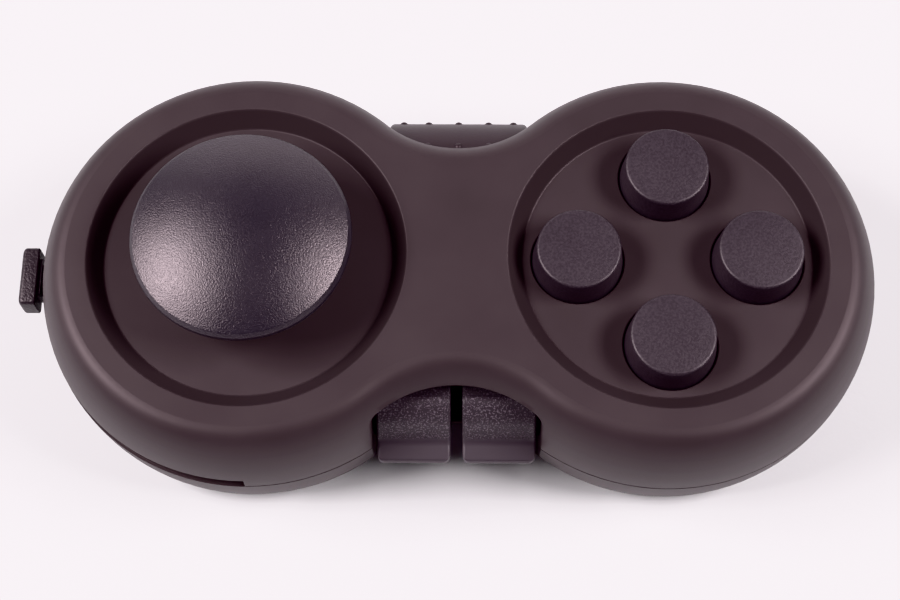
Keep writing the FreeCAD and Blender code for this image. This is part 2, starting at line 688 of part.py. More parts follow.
def roller_barrel():
    barrel = x_cylinder(ROLLER_R, -ROLLER_HALF_L, ROLLER_HALF_L, 0, 0)
    rims = [e for e in barrel.Edges if e.Curve.TypeId == "Part::GeomCircle"]
    barrel = barrel.makeChamfer(ROLLER_CHAMFER, rims)
    nubs = []
    for row in range(NUB_ROWS):
        angle = 2 * math.pi * (row + 0.5) / NUB_ROWS
        out = V(0, math.cos(angle), math.sin(angle))
        for x in NUB_X:
            start = V(x, 0, 0) + out * (ROLLER_R - 0.6)
            nubs.append(Part.makeCylinder(NUB_R, 0.6 + NUB_PROUD, start, out))
    barrel = barrel.fuse(nubs)
    barrel = barrel.cut(x_cylinder(AXLE_R + PIVOT_FIT, -ROLLER_HALF_L, ROLLER_HALF_L, 0, 0))
    barrel.translate(V(0, ROLLER_Y, ROLLER_Z))
    return barrel


def roller_axle():
    return x_cylinder(AXLE_R, -AXLE_HALF_L, AXLE_HALF_L, ROLLER_Y, ROLLER_Z)


def roller_washers():
    low = ROLLER_HALF_L + 0.05
    washer = x_cylinder(WASHER_R, low, low + WASHER_T, ROLLER_Y, ROLLER_Z)
    washer = washer.cut(x_cylinder(AXLE_R + PILOT_FIT, low, low + WASHER_T, ROLLER_Y, ROLLER_Z))
    return Part.makeCompound([washer, mirrored_x(washer)])


def main():
    os.makedirs("parts", exist_ok=True)
    outline = pad(0)
    opened = open_pad(outline)
    inner = pad(WALL)
    save("top_shell", top_shell(opened, inner))
    save("bottom_shell", bottom_shell(outline, opened, inner))
    save("housing_screws", housing_screws())
    save("joystick_cap", joystick_cap())
    save("joystick_stem", joystick_stem())
    save("dust_dome", dust_dome())
    save("gimbal_ring", gimbal_ring())
    save("joystick_frame", joystick_frame())
    save("joystick_frame_screws",
         small_screws(frame_screw_places(), FRAME_BASE_Z + FRAME_BASE_T, 1.3, 0.8, 0.6, 0.8))
    save("joystick_spring", joystick_spring())
    save("slider_lever", slider_lever())
    save("slider_knob", slider_knob())
    for side, x, y in button_places():
        save("button_" + side, button(x, y))
        save("snap_dome_" + side, snap_dome(x, y))
    save("switch_plate", switch_plate())
    save("switch_plate_screws", small_screws(plate_screw_places(), PLATE_TOP_Z, 1.4, 0.8, 0.7, 5.0))
    middle = TRIGGER_GAP / 2 + TRIGGER_W / 2
    save("trigger_left", trigger(-TRIGGER_GAP / 2 - TRIGGER_W))
    save("trigger_right", trigger(TRIGGER_GAP / 2))
    save("trigger_pin", trigger_pin())
    save("trigger_spring_left", trigger_spring(-middle))
    save("trigger_spring_right", trigger_spring(middle))
    save("roller_barrel", roller_barrel())
    save("roller_axle", roller_axle())
    save("roller_washers", roller_washers())


main()
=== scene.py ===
import math

import bmesh
import bpy
from mathutils import Matrix, Vector


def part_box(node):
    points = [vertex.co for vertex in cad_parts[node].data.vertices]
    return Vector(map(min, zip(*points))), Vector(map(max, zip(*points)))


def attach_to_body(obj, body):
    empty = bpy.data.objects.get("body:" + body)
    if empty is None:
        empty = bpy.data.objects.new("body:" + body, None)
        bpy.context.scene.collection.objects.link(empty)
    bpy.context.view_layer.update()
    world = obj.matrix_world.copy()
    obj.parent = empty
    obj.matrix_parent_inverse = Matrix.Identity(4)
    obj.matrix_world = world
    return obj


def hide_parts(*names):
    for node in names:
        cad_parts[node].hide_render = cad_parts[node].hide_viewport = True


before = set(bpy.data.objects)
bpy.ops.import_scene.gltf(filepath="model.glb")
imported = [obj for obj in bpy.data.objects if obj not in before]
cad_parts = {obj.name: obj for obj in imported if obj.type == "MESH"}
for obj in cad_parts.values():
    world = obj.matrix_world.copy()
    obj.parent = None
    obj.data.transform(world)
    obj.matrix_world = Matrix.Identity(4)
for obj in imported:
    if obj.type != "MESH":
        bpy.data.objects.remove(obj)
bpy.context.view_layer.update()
MM = 0.001
RUNNING_CLEARANCE = 0.05 * MM

bl_info = {
    "name": "Two-lobe fidget pad",
    "version": (1, 0, 0),
    "blender": (4, 5, 0),
    "location": "View3D > Sidebar > Fidget Pad",
    "description": "Builds the visible parts and finishes of a two-lobe fidget pad",
    "category": "Object",
}

# The pad's own fixed places, in metres
STICK_X = sum(corner.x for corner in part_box("joystick_cap")) / 2
BUTTONS_X = -STICK_X
CAP_LOW, CAP_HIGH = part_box("joystick_cap")
BARREL_LOW, BARREL_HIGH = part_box("roller_barrel")
AXLE_LOW, AXLE_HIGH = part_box("roller_axle")
PIN_LOW, PIN_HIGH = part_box("trigger_pin")
KNOB_LOW, KNOB_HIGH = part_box("slider_knob")
SCREWS_LOW, SCREWS_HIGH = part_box("housing_screws")
SHELL_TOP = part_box("top_shell")[1].z
WELL_DEPTH = 1.56 * MM
WELL_FLOOR_Z = SHELL_TOP - WELL_DEPTH
WELL_FLOOR_EDGE = 13.8 * MM
WELL_RIM_EDGE = 15.15 * MM

# Colours shared by several finishes and lights
LIGHT_COLOR = (1.0, 0.93, 0.95)
ROOM_COLOR = (1.0, 0.78, 0.9, 1.0)
LINT_ON_PAINT = (0.34, 0.31, 0.32, 1.0)
LINT_ON_PLASTIC = (0.36, 0.33, 0.34, 1.0)
PLASTIC_TINT = (1.0, 0.88, 0.93)
RUBBER_TINT = (1.0, 0.86, 0.9)

BUTTON_SIDES = ("right", "back", "left", "front")
INNER_FINISHES = {
    "natural": ("gimbal_ring", "switch_plate"),
    "black": ("joystick_frame", "joystick_stem", "dust_dome", "slider_lever"),
    "zinc": ("roller_axle", "roller_washers", "trigger_pin", "joystick_frame_screws",
             "switch_plate_screws"),
    "spring": ("joystick_spring", "trigger_spring_left", "trigger_spring_right", "snap_dome_right",
               "snap_dome_back", "snap_dome_left", "snap_dome_front"),
}


# Shader values and finishes

class Value:
    """One shader socket that Python's operators turn into Math nodes."""

    def __init__(self, finish, socket):
        self.finish = finish
        self.socket = socket

    def math(self, operation, first, second=0.0):
        return self.finish.node("ShaderNodeMath", {"operation": operation}, {0: first, 1: second})

    def __add__(self, other):
        return self.math("ADD", self, other)

    def __radd__(self, other):
        return self.math("ADD", other, self)

    def __sub__(self, other):
        return self.math("SUBTRACT", self, other)

    def __rsub__(self, other):
        return self.math("SUBTRACT", other, self)

    def __mul__(self, other):
        return self.math("MULTIPLY", self, other)

    def __rmul__(self, other):
        return self.math("MULTIPLY", other, self)

    def __pow__(self, power):
        return self.math("POWER", self, power)

    def __abs__(self):
        return self.math("ABSOLUTE", self)


class Finish:
    """A named material and the nodes that vary it over a surface."""

    def __init__(self, name, color, roughness, **uniform):
        self.material = bpy.data.materials.new(name)
        self.material.use_nodes = True
        self.tree = self.material.node_tree
        self.shader = self.tree.nodes["Principled BSDF"]
        self.color = (*color, 1.0)
        self.material.diffuse_color = self.color
        self.set("Base Color", self.color)
        self.set("Roughness", roughness)
        for key, value in uniform.items():
            self.set(key.replace("_", " ").title().replace("Ior", "IOR"), value)

    def node(self, kind, settings, sockets, output=0):
        """Adds a node: its settings first, then its sockets' values or links."""
        node = self.tree.nodes.new(kind)
        for key, value in settings.items():
            setattr(node, key, value)
        for key, value in sockets.items():
            self.feed(node.inputs[key], value)
        return Value(self, node.outputs[output])

    def feed(self, socket, value):
        if isinstance(value, Value):
            self.tree.links.new(value.socket, socket)
        else:
            socket.default_value = value

    def set(self, name, value):
        self.feed(self.shader.inputs[name], value)

    def place(self):
        """Object coordinates as one vector."""
        return self.node("ShaderNodeTexCoord", {}, {}, 3)

    def axes(self, vector):
        """The three numbers of a vector."""
        split = self.node("ShaderNodeSeparateXYZ", {}, {0: vector})
        return [Value(self, socket) for socket in split.socket.node.outputs]

    def noise(self, place, size, detail=2.0, rough=0.5):
        """Soft random variation from 0 to 1, with features about size metres across."""
        return self.node("ShaderNodeTexNoise", {}, {
            "Vector": place, "Scale": 1 / size, "Detail": detail, "Roughness": rough})

    def cells(self, place, size):
        """Distance to scattered points about size metres apart, from 0 at a point."""
        return self.node("ShaderNodeTexVoronoi", {}, {"Vector": place, "Scale": 1 / size})

    def step(self, value, low, high):
        """Rises smoothly from 0 at low to 1 at high."""
        return self.node("ShaderNodeMapRange", {"interpolation_type": "SMOOTHSTEP"}, {
            "Value": value, "From Min": low, "From Max": high})

    def blend(self, factor, first, second):
        """One colour turning into another."""
        sockets = {0: factor, 6: first, 7: second}
        return self.node("ShaderNodeMix", {"data_type": "RGBA"}, sockets, 2)

    def mottle(self, factor, darker, lighter):
        """The finish's own colour, varied between two multiples of itself."""
        return self.blend(factor, shade(self.color, darker), shade(self.color, lighter))

    def bump(self, height, distance, strength=1.0, below=None):
        """A raised surface, on top of the one below when there is one."""
        sockets = {"Strength": strength, "Distance": distance, "Height": height}
        if below is not None:
            sockets["Normal"] = below
        return self.node("ShaderNodeBump", {}, sockets)


def shade(color, factor):
    """A colour, darker or lighter by factor, with its alpha kept."""
    return (*[channel * factor for channel in color[:3]], 1.0)


def dust(finish, place, spacing, reach=0.012):
    """Scattered specks of lint: 1 on a speck, 0 elsewhere. Reach is a share of the spacing."""
    near = 1.0 - finish.step(finish.cells(place, spacing), reach * 0.5, reach)
    lot = finish.step(finish.noise(place, spacing * 2.3, 0.0), 0.56, 0.6)
    return near * lot


def soft_touch_finish(look):
    """Velvety paint over the shells: a fine grain, faint clouds, painted shade on the well walls,
    some lint.
    """
    finish = Finish("soft_touch_black", look.color, look.roughness, sheen_weight=look.sheen,
                    sheen_roughness=0.45, sheen_tint=(1.0, 0.88, 0.92, 1.0),
                    specular_ior_level=look.gloss, specular_tint=(1.0, 0.83, 0.88, 1.0))
    place = finish.place()
    x, y, z = finish.axes(place)
    radius = ((abs(x) - BUTTONS_X) ** 2.0 + y ** 2.0) ** 0.5
    ease = 0.1 * MM
    well_wall_shade = finish.step(radius, WELL_FLOOR_EDGE - ease, WELL_FLOOR_EDGE + ease)
    well_wall_shade = well_wall_shade * (1.0 - finish.step(radius, WELL_RIM_EDGE - ease, WELL_RIM_EDGE + ease))
    well_wall_shade = well_wall_shade * finish.step(z, WELL_FLOOR_Z + 0.02 * MM, WELL_FLOOR_Z + 0.15 * MM)
    clouds = finish.noise(place, 9 * MM, 3.0, 0.55)
    grain = finish.noise(place, look.grain, 3.0, 0.65)
    specks = dust(finish, place, 6.5 * MM)
    worn = finish.mottle(clouds, 0.86, 1.16)
    # Painted shade: the well walls are darkened towards a quarter of the paint's colour.
    dark = finish.blend(well_wall_shade * 0.5, worn, shade(finish.color, 0.25))
    finish.set("Base Color", finish.blend(specks, dark, LINT_ON_PAINT))
    finish.set("Roughness", look.roughness - 0.05 + 0.08 * clouds + 0.04 * grain + 0.3 * well_wall_shade)
    soft = finish.bump(grain, look.grain_height, 0.7)
    finish.set("Normal", finish.bump(finish.noise(place, 2.6 * MM, 2.0), 0.012 * MM, 0.35, soft))
    return finish.material


def satin_finish(name, color, roughness, grain, height, gloss, tint):
    """Moulded satin surface: a fine mottled grain of that width and height, and some lint."""
    finish = Finish(name, color, roughness, specular_ior_level=gloss, specular_tint=(*tint, 1.0))
    place = finish.place()
    fine = finish.noise(place, grain, 2.0, 0.6)
    clouds = finish.noise(place, 5 * MM, 2.0)
    specks = dust(finish, place, 5 * MM)
    uneven = 0.6 * finish.step(fine, 0.35, 0.65) + 0.4 * clouds
    mottled = finish.mottle(uneven, 0.7, 1.3)
    finish.set("Base Color", finish.blend(specks, mottled, LINT_ON_PLASTIC))
    finish.set("Roughness", roughness - 0.06 + 0.07 * clouds + 0.08 * fine)
    finish.set("Normal", finish.bump(fine, height))
    return finish.material


def sparked_finish(look):
    """Spark-eroded texture on the triggers' faces, with painted glints in its flecks, left smooth
    on the lip below the crease.
    """
    finish = Finish("textured_black", look.color, look.roughness, specular_ior_level=0.6,
                    specular_tint=(1.0, 0.92, 0.97, 1.0))
    place = finish.place()
    y = finish.axes(place)[1]
    ease = 0.05 * MM
    rough_part = finish.step(y, look.crease_y - ease, look.crease_y + ease)
    coarse = finish.step(finish.noise(place, look.texture_size, 1.0, 0.6), 0.53, 0.66)
    fine = finish.noise(place, 0.12 * MM, 2.0)
    # Painted highlight: the lighter flecks are glints off the spark texture, painted into the
    # colour.
    glint_speckle = finish.mottle(coarse, 0.7, 2.6)
    finish.set("Base Color", finish.blend(rough_part, finish.color, glint_speckle))
    finish.set("Roughness", look.roughness + 0.1 * fine - 0.16 * coarse * rough_part)
    smooth = finish.bump(fine, 0.004 * MM)
    finish.set("Normal", finish.bump(coarse * rough_part, look.texture_depth, 1.0, smooth))
    return finish.material


def roller_finish(look):
    """Satin barrel, rubbed smoother in patches, with less grain on its ends."""
    finish = Finish("roller_black", look.color, look.roughness, specular_ior_level=0.5,
                    specular_tint=(1.0, 0.84, 0.9, 1.0))
    place = finish.place()
    x = finish.axes(place)[0]
    grain = finish.noise(place, 0.22 * MM, 2.0, 0.65)
    rubbed = finish.noise(place, 3.5 * MM, 3.0, 0.6)
    finish.set("Base Color", finish.mottle(rubbed, 0.8, 1.25))
    finish.set("Roughness", look.roughness + 0.12 * rubbed - 0.06 + 0.05 * grain)
    ends = finish.step(abs(x), 6.2 * MM, 6.6 * MM)
    finish.set("Normal", finish.bump(grain * (1.0 - 0.6 * ends), 0.014 * MM))
    return finish.material


def moulded_finish(name, color, roughness):
    """Plain injection-moulded plastic with flow marks."""
    finish = Finish(name, color, roughness)
    place = finish.place()
    flow = finish.noise(place, 4 * MM, 4.0, 0.6)
    grain = finish.noise(place, 0.2 * MM)
    finish.set("Base Color", finish.mottle(flow, 0.88, 1.08))
    finish.set("Roughness", roughness - 0.05 + 0.1 * flow)
    finish.set("Normal", finish.bump(grain, 0.006 * MM))
    return finish.material


def metal_finish(name, color, roughness, grain):
    """Plated or drawn steel with fine scratches along its turning marks."""
    finish = Finish(name, color, roughness, metallic=1.0)
    place = finish.place()
    x, y, z = finish.axes(place)
    stretched = finish.node("ShaderNodeCombineXYZ", {}, {0: x * 6.0, 1: y, 2: z * 6.0})
    rings = finish.noise(stretched, grain)
    stain = finish.noise(place, 1.5 * MM, 3.0)
    finish.set("Base Color", finish.mottle(stain, 0.85, 1.05))
    finish.set("Roughness", roughness + 0.12 * stain - 0.05)
    finish.set("Normal", finish.bump(rings, 0.006 * MM))
    return finish.material


# Shapes

def arc(center, radius, start, end, count):
    """Points of a round run about center, from one angle to another, in degrees."""
    points = []
    for index in range(count + 1):
        angle = math.radians(start + (end - start) * index / count)
        points.append((center[0] + radius * math.cos(angle), center[1] + radius * math.sin(angle)))
    return points


def rounded(corners, count=6):
    """An outline whose corners (x, y, radius) are eased by arcs; a radius of 0 stays sharp."""
    points = []
    total = len(corners)
    for index, (x, y, radius) in enumerate(corners):
        here = Vector((x, y))
        if radius == 0:
            points.append((x, y))
            continue
        before = Vector(corners[index - 1][:2]) - here
        after = Vector(corners[(index + 1) % total][:2]) - here
        before.normalize()
        after.normalize()
        half = before.angle(after) / 2
        setback = radius / math.tan(half)
        center = here + (before + after).normalized() * radius / math.sin(half)
        first = here + before * setback - center
        last = here + after * setback - center
        for step in range(count + 1):
            spoke = first.slerp(last, step / count).normalized()
            points.append(tuple(center + spoke * radius))
    return points


def finish_mesh(name, mesh_builder, material, sharp=32):
    """Turns a bmesh into a smooth-shaded object with outward faces."""
    bmesh.ops.remove_doubles(mesh_builder, verts=mesh_builder.verts, dist=0.0005 * MM)
    bmesh.ops.recalc_face_normals(mesh_builder, faces=mesh_builder.faces)
    for face in mesh_builder.faces:
        face.smooth = True
    for edge in mesh_builder.edges:
        if len(edge.link_faces) == 2 and edge.calc_face_angle(0.0) > math.radians(sharp):
            edge.smooth = False
    mesh = bpy.data.meshes.new(name)
    mesh_builder.to_mesh(mesh)
    mesh_builder.free()
    mesh.materials.append(material)
    piece = bpy.data.objects.new(name, mesh)
    bpy.context.scene.collection.objects.link(piece)
    return piece


def lathe(profile, place, segments=128):
    """A closed (radius, height) profile turned about the Z axis, then moved by a matrix."""
    builder = bmesh.new()
    rings = []
    for radius, height in profile:
        if radius < 0.001 * MM:
            rings.append([builder.verts.new((0, 0, height))])
            continue
        ring = []
        for index in range(segments):
            angle = 2 * math.pi * index / segments
            spot = (radius * math.cos(angle), radius * math.sin(angle), height)
            ring.append(builder.verts.new(spot))
        rings.append(ring)
    for first, second in zip(rings, rings[1:] + rings[:1]):
        if len(first) == 1 and len(second) == 1:
            continue
        for index in range(segments):
            after = (index + 1) % segments
            if len(first) == 1:
                builder.faces.new((first[0], second[after], second[index]))
            elif len(second) == 1:
                builder.faces.new((first[index], first[after], second[0]))
            else:
                builder.faces.new((first[index], first[after], second[after], second[index]))
    bmesh.ops.transform(builder, matrix=place, verts=builder.verts)
    return builder


def loft(sections):
    """Closed sections of equal length joined in order, with both ends filled."""
    builder = bmesh.new()
    rings = [[builder.verts.new(point) for point in section] for section in sections]
    for first, second in zip(rings, rings[1:]):
        for index in range(len(first)):
            after = (index + 1) % len(first)
            builder.faces.new((first[index], first[after], second[after], second[index]))
    builder.faces.new(rings[0])
    builder.faces.new(rings[-1])
    return builder


def carve(piece, cutter):
    """Cuts one object out of another and removes the cutter."""
    tool = piece.modifiers.new("cut", "BOOLEAN")
    tool.operation = "DIFFERENCE"
    tool.solver = "EXACT"
    tool.object = cutter
    bake_modifiers(piece)
    bpy.data.objects.remove(cutter)
    return piece


def bake_modifiers(piece):
    """Makes the evaluated shape the piece's own plain mesh."""
    graph = bpy.context.evaluated_depsgraph_get()
    mesh = bpy.data.meshes.new_from_object(piece.evaluated_get(graph))
    piece.modifiers.clear()
    piece.data = mesh
    return piece


class Tree:
    """A Geometry Nodes tree with named inputs, which repeats a shape on a piece's points."""

    def __init__(self, name, **inputs):
        self.group = bpy.data.node_groups.new(name, "GeometryNodeTree")
        for key, kind in {"Geometry": "Geometry", **inputs, "Material": "Material"}.items():
            self.group.interface.new_socket(
                key.replace("_", " "), in_out="INPUT", socket_type="NodeSocket" + kind)
        self.group.interface.new_socket(
            "Geometry", in_out="OUTPUT", socket_type="NodeSocketGeometry")
        self.given = self.group.nodes.new("NodeGroupInput").outputs

    def node(self, kind, settings, sockets):
        """Adds a node and gives its first output; a socket takes a number or another output."""
        node = self.group.nodes.new(kind)
        for key, value in settings.items():
            setattr(node, key, value)
        for key, value in sockets.items():
            if isinstance(value, bpy.types.NodeSocket):
                self.group.links.new(value, node.inputs[key])
            else:
                node.inputs[key].default_value = value
        return node.outputs[0] if node.outputs else node

    def math(self, operation, first, second):
        return self.node("ShaderNodeMath", {"operation": operation}, {0: first, 1: second})

    def end(self, instances):
        """Makes the instances real and gives them the material."""
        real = self.node("GeometryNodeRealizeInstances", {}, {"Geometry": instances})
        painted = self.node("GeometryNodeSetMaterial", {}, {
            "Geometry": real, "Material": self.given["Material"]})
        self.node("NodeGroupOutput", {}, {"Geometry": painted})

    def grow(self, name, points, **values):
        """Runs the tree on points, and keeps the result as a new piece with a plain mesh."""
        mesh = bpy.data.meshes.new(name)
        mesh.from_pydata(points, [], [])
        piece = bpy.data.objects.new(name, mesh)
        bpy.context.scene.collection.objects.link(piece)
        modifier = piece.modifiers.new(name, "NODES")
        modifier.node_group = self.group
        for item in self.group.interface.items_tree:
            key = item.name.replace(" ", "_")
            if item.in_out == "INPUT" and key in values:
                modifier[item.identifier] = values[key]
        return bake_modifiers(piece)


def attach(piece, body, slot, *nodes):
    """Rides a piece on its body and hides the CAD nodes it stands for. The slot is not used."""
    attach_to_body(piece, body)
    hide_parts(*nodes)


def dress(node, material):
    """Gives a CAD node its finish."""
    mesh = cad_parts[node].data
    if not mesh.materials:
        mesh.materials.append(material)
    for index in range(len(mesh.materials)):
        mesh.materials[index] = material


# Sizes and colours a user would change

class FIDGET_PG_shell(bpy.types.PropertyGroup):
    """Finish of the two shells."""
    color: bpy.props.FloatVectorProperty(
        name="Colour", description="Colour of the soft-touch paint", subtype="COLOR", size=3,
        default=(0.0372, 0.0302, 0.0328), min=0, max=1)
    roughness: bpy.props.FloatProperty(
        name="Roughness", description="How matt the paint is", default=0.52, min=0, max=1)
    sheen: bpy.props.FloatProperty(
        name="Sheen", description="Velvety glow at grazing angles", default=0.015, min=0, max=1)
    gloss: bpy.props.FloatProperty(
        name="Gloss", description="Strength of the paint's reflection", default=0.45, min=0, max=1)
    grain: bpy.props.FloatProperty(
        name="Grain size", description="Width of the paint's grain", default=0.16 * MM,
        min=0.01 * MM, unit="LENGTH", subtype="DISTANCE")
    grain_height: bpy.props.FloatProperty(
        name="Grain height", description="Height of the paint's grain", default=0.006 * MM,
        min=0, unit="LENGTH", subtype="DISTANCE")


class FIDGET_PG_cap(bpy.types.PropertyGroup):
    """Shape and finish of the thumbstick cap."""
    radius: bpy.props.FloatProperty(
        name="Radius", description="Radius of the cap at its widest", default=10.3 * MM,
        min=5 * MM, unit="LENGTH", subtype="DISTANCE")
    face_radius: bpy.props.FloatProperty(
        name="Face radius", description="Where the dome meets the side band", default=9.98 * MM,
        min=4 * MM, unit="LENGTH", subtype="DISTANCE")
    rise: bpy.props.FloatProperty(
        name="Dome rise", description="Height of the dome over its edge", default=2.4 * MM,
        min=0, unit="LENGTH", subtype="DISTANCE")
    band: bpy.props.FloatProperty(
        name="Band height", description="Height of the side band under the dome", default=0.9 * MM,
        min=0, unit="LENGTH", subtype="DISTANCE")
    edge_round: bpy.props.FloatProperty(
        name="Edge rounding", description="Radius of the dome's edge", default=0.16 * MM,
        min=0, unit="LENGTH", subtype="DISTANCE")
    color: bpy.props.FloatVectorProperty(
        name="Colour", description="Colour of the cap", subtype="COLOR", size=3,
        default=(0.0205, 0.0188, 0.025), min=0, max=1)
    roughness: bpy.props.FloatProperty(
        name="Roughness", description="How matt the cap is", default=0.34, min=0, max=1)


class FIDGET_PG_buttons(bpy.types.PropertyGroup):
    """Shape and finish of the four buttons."""
    radius: bpy.props.FloatProperty(
        name="Radius", description="Radius in the button's hole", default=4.3 * MM,
        min=1 * MM, unit="LENGTH", subtype="DISTANCE")
    top_radius: bpy.props.FloatProperty(
        name="Top radius", description="Radius at the top edge", default=3.98 * MM,
        min=1 * MM, unit="LENGTH", subtype="DISTANCE")
    edge_round: bpy.props.FloatProperty(
        name="Edge rounding", description="Radius of the top edge", default=0.3 * MM,
        min=0, unit="LENGTH", subtype="DISTANCE")
    color: bpy.props.FloatVectorProperty(
        name="Colour", description="Colour of the buttons", subtype="COLOR", size=3,
        default=(0.034, 0.0285, 0.0345), min=0, max=1)
    roughness: bpy.props.FloatProperty(
        name="Roughness", description="How matt the buttons are", default=0.46, min=0, max=1)


class FIDGET_PG_triggers(bpy.types.PropertyGroup):
    """Shape and finish of the two triggers."""
    corner: bpy.props.FloatProperty(
        name="Lip corner", description="Radius of the lip's corners from above", default=0.8 * MM,
        min=0, unit="LENGTH", subtype="DISTANCE")
    edge_round: bpy.props.FloatProperty(
        name="Edge rounding", description="Radius of the side edges", default=0.26 * MM,
        min=0, unit="LENGTH", subtype="DISTANCE")
    crease_y: bpy.props.FloatProperty(
        name="Crease", description="Where the texture ends and the smooth lip starts",
        default=-16.1 * MM, unit="LENGTH", subtype="DISTANCE")
    texture_size: bpy.props.FloatProperty(
        name="Texture size", description="Width of the spark texture's pits", default=0.16 * MM,
        min=0.05 * MM, unit="LENGTH", subtype="DISTANCE")
    texture_depth: bpy.props.FloatProperty(
        name="Texture depth", description="Depth of the spark texture", default=0.06 * MM,
        min=0, unit="LENGTH", subtype="DISTANCE")
    color: bpy.props.FloatVectorProperty(
        name="Colour", description="Colour of the triggers", subtype="COLOR", size=3,
        default=(0.047, 0.0395, 0.047), min=0, max=1)
    roughness: bpy.props.FloatProperty(
        name="Roughness", description="How matt the lip is", default=0.42, min=0, max=1)


class FIDGET_PG_roller(bpy.types.PropertyGroup):
    """Shape and finish of the roller."""
    radius: bpy.props.FloatProperty(
        name="Radius", description="Radius of the barrel", default=6.4 * MM,
        min=1 * MM, unit="LENGTH", subtype="DISTANCE")
    end_round: bpy.props.FloatProperty(
        name="End rounding", description="Radius of the barrel's end edges", default=0.5 * MM,
        min=0, unit="LENGTH", subtype="DISTANCE")
    rows: bpy.props.IntProperty(
        name="Rows", description="Rows of nubs round the barrel", default=8, min=1)
    phase: bpy.props.FloatProperty(
        name="Phase", description="Turn of the first row, in rows", default=0.67, min=0, max=1)
    nub_radius: bpy.props.FloatProperty(
        name="Nub radius", description="Radius of each nub", default=0.4 * MM,
        min=0, unit="LENGTH", subtype="DISTANCE")
    nub_height: bpy.props.FloatProperty(
        name="Nub height", description="How far a nub stands out", default=0.2 * MM,
        min=0, unit="LENGTH", subtype="DISTANCE")
    color: bpy.props.FloatVectorProperty(
        name="Colour", description="Colour of the roller", subtype="COLOR", size=3,
        default=(0.022, 0.017, 0.02), min=0, max=1)
    roughness: bpy.props.FloatProperty(
        name="Roughness", description="How matt the roller is", default=0.47, min=0, max=1)


class FIDGET_PG_knob(bpy.types.PropertyGroup):
    """Shape of the side slider's knob."""
    edge_round: bpy.props.FloatProperty(
        name="Edge rounding", description="Radius of the knob's outer edges", default=0.45 * MM,
        min=0, unit="LENGTH", subtype="DISTANCE")
    half_width: bpy.props.FloatProperty(
        name="Half width", description="Half the knob's length along the slot",
        default=KNOB_HIGH.y,
        min=0, unit="LENGTH", subtype="DISTANCE")
    neck: bpy.props.FloatProperty(
        name="Neck", description="Length of the narrow neck behind the knob", default=0.3 * MM,
        min=0, unit="LENGTH", subtype="DISTANCE")


class FIDGET_PG_screws(bpy.types.PropertyGroup):
    """Shape of the housing screws."""
    head_radius: bpy.props.FloatProperty(
        name="Head radius", description="Radius of the pan head", default=1.7 * MM,
        min=0, unit="LENGTH", subtype="DISTANCE")
    head_height: bpy.props.FloatProperty(
        name="Head height", description="Height of the pan head", default=1.2 * MM,
        min=0, unit="LENGTH", subtype="DISTANCE")
    shank_radius: bpy.props.FloatProperty(
        name="Shank radius", description="Radius of the threaded part", default=0.8 * MM,
        min=0, unit="LENGTH", subtype="DISTANCE")


class FIDGET_PG_stage(bpy.types.PropertyGroup):
    """Floor, lights and camera."""
    floor_color: bpy.props.FloatVectorProperty(
        name="Floor colour", description="Colour of the floor and backdrop", subtype="COLOR",
        size=3, default=(0.79, 0.8, 0.815), min=0, max=1)
    left_power: bpy.props.FloatProperty(
        name="Left light", description="Power of the left softbox", default=5.0, min=0,
        unit="POWER")
    right_power: bpy.props.FloatProperty(
        name="Right light", description="Power of the right softbox", default=4.4, min=0,
        unit="POWER")
    back_power: bpy.props.FloatProperty(
        name="Back light", description="Power of the broad light behind", default=1.6, min=0,
        unit="POWER")
    fill: bpy.props.FloatProperty(
        name="Room light", description="Strength of the light all round", default=0.045, min=0)


# Pieces

class FIDGET_OT_shells(bpy.types.Operator):
    """Give the two shells their soft-touch finish"""
    bl_idname = "fidget.shells"
    bl_label = "Shells"

    def execute(self, context):
        material = soft_touch_finish(context.scene.fidget_shell)
        for node in ("top_shell", "bottom_shell"):
            dress(node, material)
        return {"FINISHED"}


class FIDGET_OT_cap(bpy.types.Operator):
    """Build the domed thumbstick cap"""
    bl_idname = "fidget.cap"
    bl_label = "Thumbstick cap"

    def execute(self, context):
        shape = context.scene.fidget_cap
        top = CAP_HIGH.z
        edge_z = top - shape.rise
        sphere = (shape.face_radius ** 2 + shape.rise ** 2) / (2 * shape.rise)
        reach = math.degrees(math.asin(shape.face_radius / sphere))
        dome = arc((0, top - sphere), sphere, 90, 90 - reach, 40)[:-1]
        under_z = CAP_LOW.z + 2.8 * MM
        neck = 3.2 * MM
        socket = 1.7 * MM
        socket_z = edge_z - 0.9 * MM
        outline = [dome[-1] + (0,), (shape.face_radius, edge_z, shape.edge_round)]
        outline += [(shape.radius - 0.02 * MM, edge_z - 0.5 * shape.band, 0.3 * MM)]
        outline += [(shape.radius, edge_z - shape.band, 0.12 * MM)]
        outline += [(shape.radius - 0.75 * MM, under_z, 0.35 * MM), (4.6 * MM, under_z, 1.2 * MM)]
        outline += [(neck, CAP_LOW.z + 1.2 * MM, 0.6 * MM), (neck, CAP_LOW.z, 0.2 * MM)]
        outline += [(socket, CAP_LOW.z, 0.1 * MM), (socket, socket_z, 0), (0, socket_z, 0)]
        points = dome[:-1] + rounded(outline)
        builder = lathe(points, Matrix.Translation((STICK_X, 0, 0)), 192)
        material = satin_finish("black_rubber", shape.color, shape.roughness,
                                0.15 * MM, 0.04 * MM, 0.78, RUBBER_TINT)
        piece = finish_mesh("thumbstick_cap", builder, material)
        attach(piece, "stick", "black_rubber", "joystick_cap")
        return {"FINISHED"}


